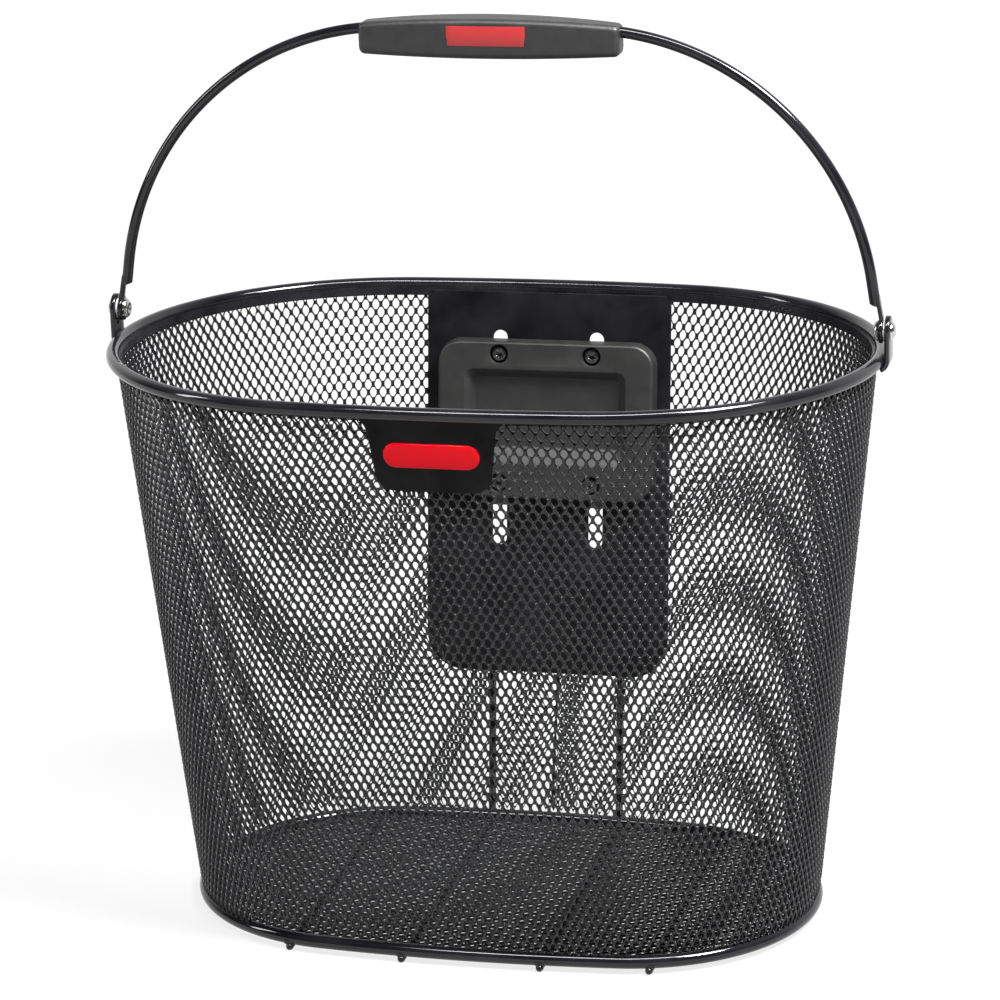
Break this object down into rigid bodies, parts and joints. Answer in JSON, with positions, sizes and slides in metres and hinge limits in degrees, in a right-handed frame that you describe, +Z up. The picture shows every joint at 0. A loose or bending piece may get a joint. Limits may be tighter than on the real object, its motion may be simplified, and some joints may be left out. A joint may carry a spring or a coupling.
{
  "type": "handlebar basket",
  "caption": "Oval wire-mesh basket that hangs on a bicycle handlebar by a quick-release coupling, with a swinging bail handle.",
  "frame": {"origin": "centre of the base oval, on the surface that the four floor wires stand on", "axes": "+Z up through the basket and the raised bail, +Y towards the handlebar where the coupling is, -Y the badge side, +X to the right seen from the badge side"},
  "size_m": [0.365, 0.2539, 0.4161],
  "materials": {
    "gloss_black_tube": "gloss black powder coat",
    "black_mesh": "satin black powder coat on expanded steel",
    "black_wire": "gloss black powder coat",
    "black_plate": "satin black powder coat",
    "grey_plastic": "fine-grained dark grey moulding",
    "black_plastic": "fine-grained black moulding",
    "bolt_black": "black-oxide steel",
    "zinc": "bright zinc",
    "rivet_bright": "bright nickel",
    "washer_nylon": "black nylon",
    "red_badge": "gloss red",
    "red_label": "satin red"
  },
  "bodies": {
    "basket": {"rim_tube": "gloss_black_tube", "rim_hem_band": "black_plate", "wall_mesh": "black_mesh", "floor_mesh": "black_mesh", "base_ring": "gloss_black_tube", "floor_wire_left": "black_wire", "floor_wire_right": "black_wire", "stay_wire_left": "black_wire", "stay_wire_right": "black_wire", "back_plate": "black_plate", "counter_plate": "grey_plastic", "coupling_shoe": "black_plastic", "coupling_bolts": "bolt_black", "coupling_washers": "zinc", "coupling_nuts": "zinc", "badge_plate": "gloss_black_tube", "badge": "red_badge", "ear_left": "gloss_black_tube", "ear_right": "gloss_black_tube", "rivet_left": "rivet_bright", "rivet_right": "rivet_bright", "hinge_washer_left": "washer_nylon", "hinge_washer_right": "washer_nylon"},
    "bail": {"bail_rod": "gloss_black_tube", "grip_front_shell": "grey_plastic", "grip_rear_shell": "grey_plastic", "grip_label_front": "red_label", "grip_label_rear": "red_label"}
  },
  "joints": [
    {"name": "bail_hinge", "type": "hinge", "parent": "basket", "child": "bail", "pos_m": [0, 0, 0.2787], "axis": [1, 0, 0], "range_deg": [-90, 90]}
  ]
}
